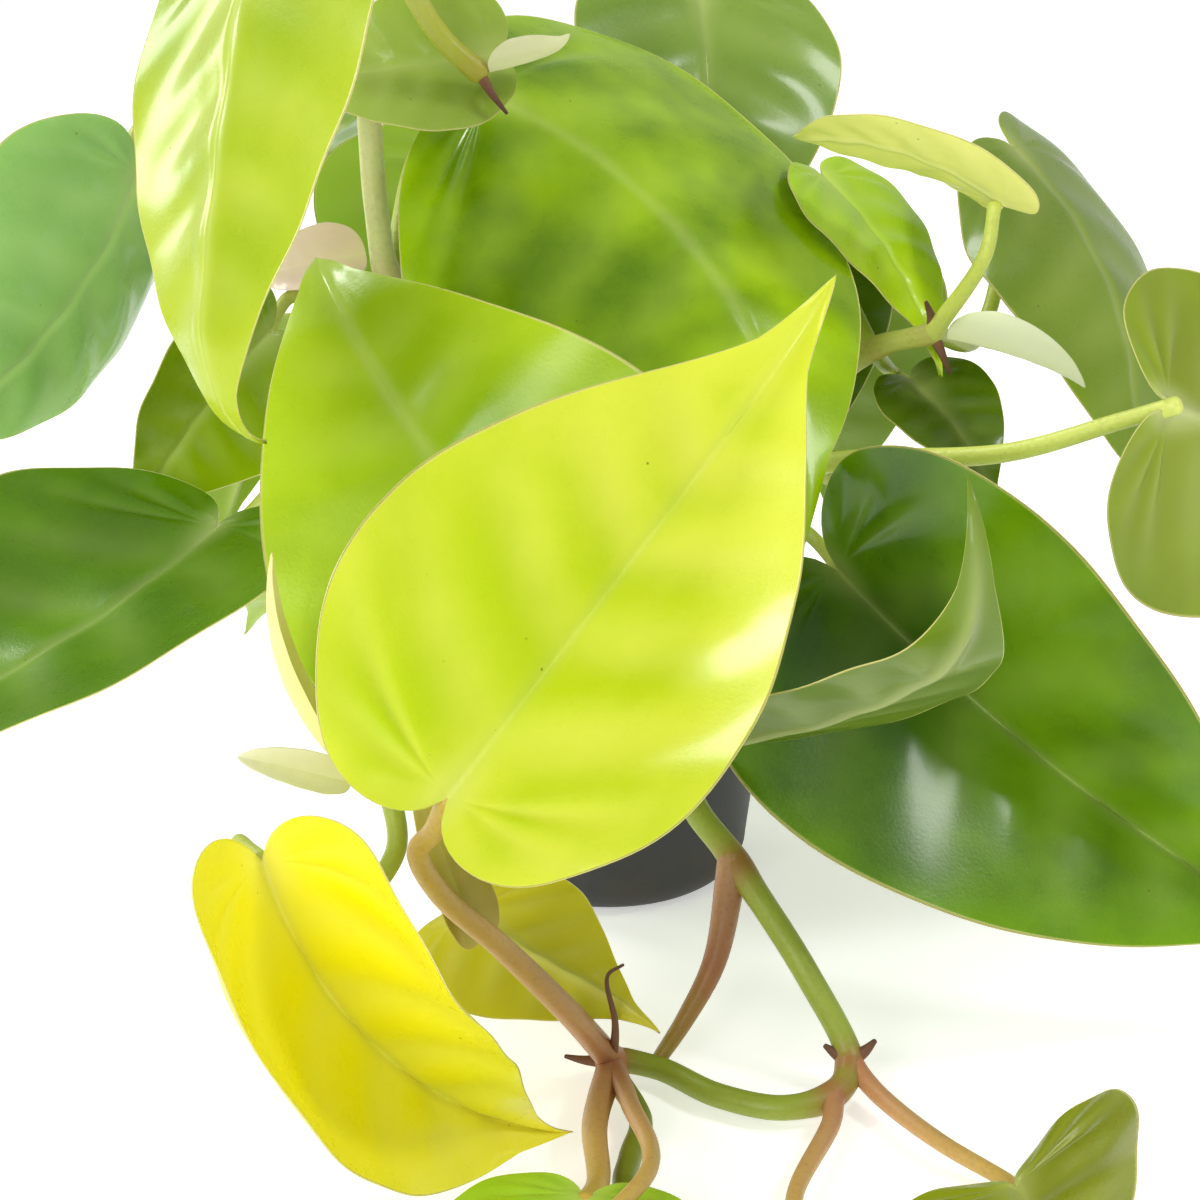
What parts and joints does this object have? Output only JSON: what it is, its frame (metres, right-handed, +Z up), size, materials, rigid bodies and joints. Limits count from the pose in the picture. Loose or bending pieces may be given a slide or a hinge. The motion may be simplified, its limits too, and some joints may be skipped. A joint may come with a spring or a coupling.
{
  "type": "potted philodendron",
  "caption": "small trailing heart-leaf philodendron with lime-green leaves in a plain round charcoal nursery pot",
  "frame": {"origin": "centre of the flat foot of the pot", "axes": "+Z up, the pot's axis; -Y is the front, where the long vine comes over the rim"},
  "size_m": [0.2786, 0.3494, 0.1929],
  "materials": {
    "pot": "satin",
    "soil": "crumbly, dull",
    "stem": "smooth, slightly glossy",
    "leaf": "smooth, softly glossy",
    "sheath": "dry and papery"
  },
  "bodies": {
    "root": {"pot": "pot", "soil": "soil", "stem_back": "stem", "stem_front": "stem", "stem_left": "stem", "stem_right": "stem", "stem_tall": "stem", "vine_back": "stem", "vine_front": "stem", "leaf_back_floor": "leaf", "leaf_back_high": "leaf", "leaf_back_inner": "leaf", "leaf_back_left": "leaf", "leaf_back_lit": "leaf", "leaf_back_middle": "leaf", "leaf_back_right": "leaf", "leaf_back_trailing": "leaf", "leaf_behind_front": "leaf", "leaf_centre": "leaf", "leaf_curled": "leaf", "leaf_floor_front": "leaf", "leaf_floor_middle": "leaf", "leaf_floor_raised": "leaf", "leaf_floor_right": "leaf", "leaf_front": "leaf", "leaf_hanging": "leaf", "leaf_inner": "leaf", "leaf_left_high": "leaf", "leaf_left_low": "leaf", "leaf_left_shade": "leaf", "leaf_right_big": "leaf", "leaf_right_edge": "leaf", "leaf_right_far": "leaf", "leaf_right_shade": "leaf", "leaf_right_small": "leaf", "leaf_shoot": "leaf", "leaf_side_right": "leaf", "leaf_top_back": "leaf", "leaf_top_small": "leaf", "leaf_yellow": "leaf", "sheath_floor": "sheath", "sheath_front": "sheath", "sheath_front_short": "sheath", "sheath_shoot": "sheath", "sheath_stalk": "sheath", "sheath_tall": "sheath", "sheath_tip": "sheath"}
  },
  "joints": []
}
